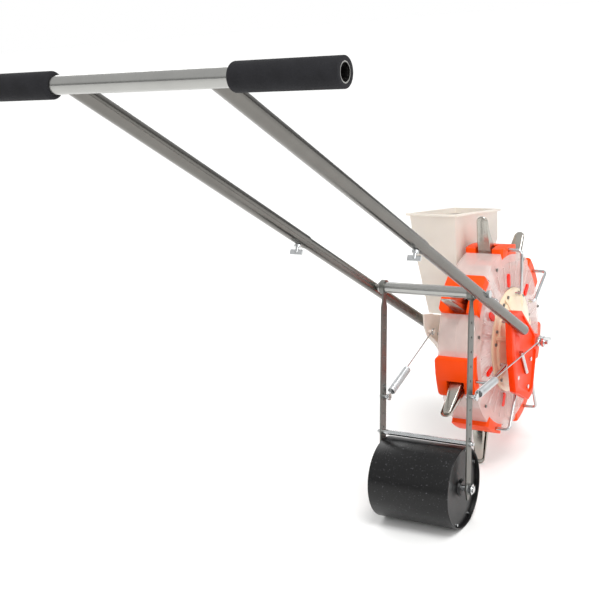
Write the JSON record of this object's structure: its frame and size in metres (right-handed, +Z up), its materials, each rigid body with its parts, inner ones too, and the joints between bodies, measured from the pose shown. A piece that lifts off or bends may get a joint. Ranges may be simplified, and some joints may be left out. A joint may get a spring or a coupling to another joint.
{
  "type": "drum seeder",
  "caption": "Hand-pushed drum seeder: spiked planting drum with hinged beaks and a side hopper, two-part T-handle, sprung trailing arms and a black press roller.",
  "frame": {"origin": "on the ground, below the middle of the length and width", "axes": "+X forward in the direction of travel, +Y to the machine's left along the drum axle, +Z up"},
  "size_m": [1.3826, 0.574, 0.9466],
  "materials": {
    "galvanised_tube": "zinc-plated steel tube, semi-bright",
    "zinc": "bright zinc-plated steel",
    "dark_steel": "dark-plated steel",
    "strip_steel": "dull galvanised strip",
    "stainless": "pressed stainless sheet",
    "foam": "closed-cell foam, matt black",
    "orange": "moulded plastic, vivid orange, satin",
    "cap_red": "moulded plastic, orange-red",
    "clear": "clear polycarbonate, smoky",
    "cream": "moulded plastic, cream",
    "milky": "translucent white polypropylene",
    "roller_black": "black moulded plastic, semi-gloss"
  },
  "bodies": {
    "frame": {"lower_tube_left": "galvanised_tube", "lower_tube_right": "galvanised_tube", "cross_tube": "galvanised_tube", "cross_bolts": "dark_steel", "bracket_right": "orange", "bracket_left": "milky", "bracket_screws": "zinc", "adjuster_rod": "zinc", "axle": "zinc", "axle_nuts": "zinc", "hopper": "milky", "feed_neck": "milky"},
    "handle": {"crossbar": "galvanised_tube", "upper_tube_left": "galvanised_tube", "upper_tube_right": "galvanised_tube", "grip_left": "foam", "grip_right": "foam", "lock_screws": "zinc"},
    "drum": {"side_cover_left": "clear", "side_cover_right": "clear", "hub_left": "cream", "hub_right": "cream", "cover_screws": "dark_steel", "seed_caps": "cap_red", "seat_1": "orange", "seat_2": "orange", "seat_3": "orange", "seat_4": "orange", "seat_5": "orange", "seat_6": "orange", "seat_7": "orange", "fixed_jaw_1": "stainless", "fixed_jaw_2": "stainless", "fixed_jaw_3": "stainless", "fixed_jaw_4": "stainless", "fixed_jaw_5": "stainless", "fixed_jaw_6": "stainless", "fixed_jaw_7": "stainless"},
    "roller_arm": {"arm_left": "strip_steel", "arm_right": "strip_steel", "brace_rod": "zinc", "spring_pins": "zinc", "roller_axle": "zinc"},
    "press_roller": {"roller_drum": "roller_black", "roller_end_left": "roller_black", "roller_end_right": "roller_black", "roller_screws": "zinc"},
    "coil_left": {"spring_left": "zinc"},
    "coil_right": {"spring_right": "zinc"},
    "draw_left": {"draw_wire_left": "zinc"},
    "draw_right": {"draw_wire_right": "zinc"},
    "jaw_1": {"moving_jaw_1": "stainless"},
    "jaw_2": {"moving_jaw_2": "stainless"},
    "jaw_3": {"moving_jaw_3": "stainless"},
    "jaw_4": {"moving_jaw_4": "stainless"},
    "jaw_5": {"moving_jaw_5": "stainless"},
    "jaw_6": {"moving_jaw_6": "stainless"},
    "jaw_7": {"moving_jaw_7": "stainless"}
  },
  "joints": [
    {"name": "handle_slide", "type": "slide", "parent": "frame", "child": "handle", "axis": [-0.8512, 0, 0.5249], "range_m": [-0.1, 0.12]},
    {"name": "drum_spin", "type": "hinge", "parent": "frame", "child": "drum", "pos_m": [0.4164, 0, 0.2605], "axis": [0, 1, 0], "continuous": true},
    {"name": "arm_swing", "type": "hinge", "parent": "frame", "child": "roller_arm", "pos_m": [0.1044, 0, 0.453], "axis": [0, 1, 0], "range_deg": [-6, 10], "stiffness_Nm_per_rad": 90, "springref_deg": -0.57},
    {"name": "roller_spin", "type": "hinge", "parent": "roller_arm", "child": "press_roller", "pos_m": [0.0444, 0, 0.0795], "axis": [0, 1, 0], "continuous": true},
    {"name": "coil_left_turn", "type": "hinge", "parent": "roller_arm", "child": "coil_left", "pos_m": [0.06986, 0.0815, 0.238], "axis": [0, 1, 0], "range_deg": [-6.03, 3.62]},
    {"name": "draw_left_turn", "type": "hinge", "parent": "frame", "child": "draw_left", "pos_m": [0.2964, 0.0815, 0.303], "axis": [0, 1, 0], "range_deg": [-2.38, 3.97]},
    {"name": "coil_right_turn", "type": "hinge", "parent": "roller_arm", "child": "coil_right", "pos_m": [0.07308, -0.1025, 0.258], "axis": [0, 1, 0], "range_deg": [-8.92, 5.35]},
    {"name": "draw_right_turn", "type": "hinge", "parent": "frame", "child": "draw_right", "pos_m": [0.4164, -0.1125, 0.2605], "axis": [0, 1, 0], "range_deg": [-0.65, 1.08]},
    {"name": "jaw_1_open", "type": "hinge", "parent": "drum", "child": "jaw_1", "pos_m": [0.42976, 0, 0.45662], "axis": [0, 1, 0], "range_deg": [0, 16], "stiffness_Nm_per_rad": 2, "springref_deg": -11.46},
    {"name": "jaw_2_open", "type": "hinge", "parent": "drum", "child": "jaw_2", "pos_m": [0.27139, 0, 0.39322], "axis": [0, 1, 0], "range_deg": [0, 16], "stiffness_Nm_per_rad": 2, "springref_deg": -11.46},
    {"name": "jaw_3_open", "type": "hinge", "parent": "drum", "child": "jaw_3", "pos_m": [0.22222, 0, 0.22988], "axis": [0, 1, 0], "range_deg": [0, 16], "stiffness_Nm_per_rad": 2, "springref_deg": -11.46},
    {"name": "jaw_4_open", "type": "hinge", "parent": "drum", "child": "jaw_4", "pos_m": [0.31927, 0, 0.0896], "axis": [0, 1, 0], "range_deg": [0, 16], "stiffness_Nm_per_rad": 2, "springref_deg": -11.46},
    {"name": "jaw_5_open", "type": "hinge", "parent": "drum", "child": "jaw_5", "pos_m": [0.48946, 0, 0.078], "axis": [0, 1, 0], "range_deg": [0, 16], "stiffness_Nm_per_rad": 2, "springref_deg": -11.46},
    {"name": "jaw_6_open", "type": "hinge", "parent": "drum", "child": "jaw_6", "pos_m": [0.60463, 0, 0.20383], "axis": [0, 1, 0], "range_deg": [0, 16], "stiffness_Nm_per_rad": 2, "springref_deg": -11.46},
    {"name": "jaw_7_open", "type": "hinge", "parent": "drum", "child": "jaw_7", "pos_m": [0.57806, 0, 0.37234], "axis": [0, 1, 0], "range_deg": [0, 16], "stiffness_Nm_per_rad": 2, "springref_deg": -11.46}
  ],
  "couplings": [
    {"joint": "coil_left_turn", "follows": "arm_swing", "ratio": -0.6028},
    {"joint": "draw_left_turn", "follows": "arm_swing", "ratio": 0.3972},
    {"joint": "coil_right_turn", "follows": "arm_swing", "ratio": -0.8917},
    {"joint": "draw_right_turn", "follows": "arm_swing", "ratio": 0.1083}
  ]
}
